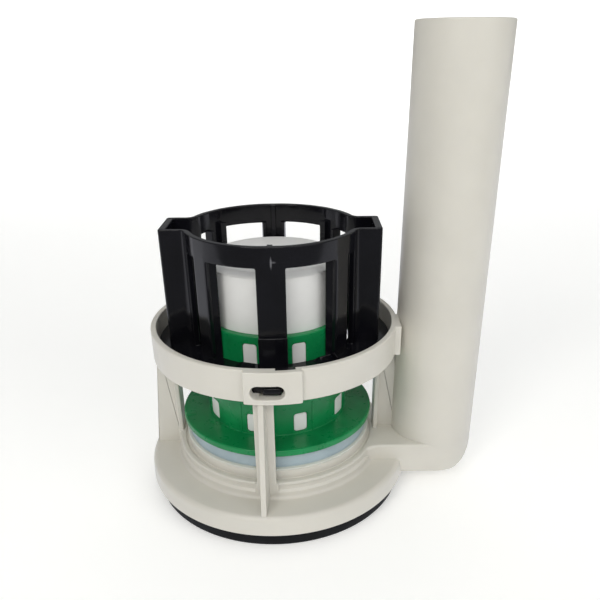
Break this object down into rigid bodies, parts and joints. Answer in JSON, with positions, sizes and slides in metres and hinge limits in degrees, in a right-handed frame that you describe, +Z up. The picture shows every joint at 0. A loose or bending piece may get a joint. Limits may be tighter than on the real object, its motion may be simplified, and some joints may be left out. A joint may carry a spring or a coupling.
{
  "type": "toilet flush valve",
  "caption": "Canister flush valve with a side overflow tube, a windowed guide cage and a float that lifts its seal off the seat to flush.",
  "frame": {"origin": "centre of the outlet, on the underside of the base gasket", "axes": "+Z up along the outlet and the float's travel, +X towards the overflow tube, -Y towards the lock seen in front"},
  "size_m": [0.141, 0.1114, 0.1812],
  "materials": {
    "cream_plastic": "satin ivory moulding",
    "black_rubber": "matt moulded rubber",
    "black_plastic": "gloss black moulding",
    "grey_silicone": "milky translucent silicone",
    "green_plastic": "satin green moulding",
    "white_plastic": "fine matt white moulding"
  },
  "bodies": {
    "fixed_valve": {"valve_body": "cream_plastic", "base_gasket": "black_rubber", "guide_cage": "black_plastic"},
    "float": {"seat_seal": "grey_silicone", "seal_retainer": "green_plastic", "float_canister": "white_plastic", "float_cap": "white_plastic", "float_base": "white_plastic"}
  },
  "joints": [
    {"name": "float_lift", "type": "slide", "parent": "fixed_valve", "child": "float", "axis": [0, 0, 1], "range_m": [0, 0.0288]}
  ]
}
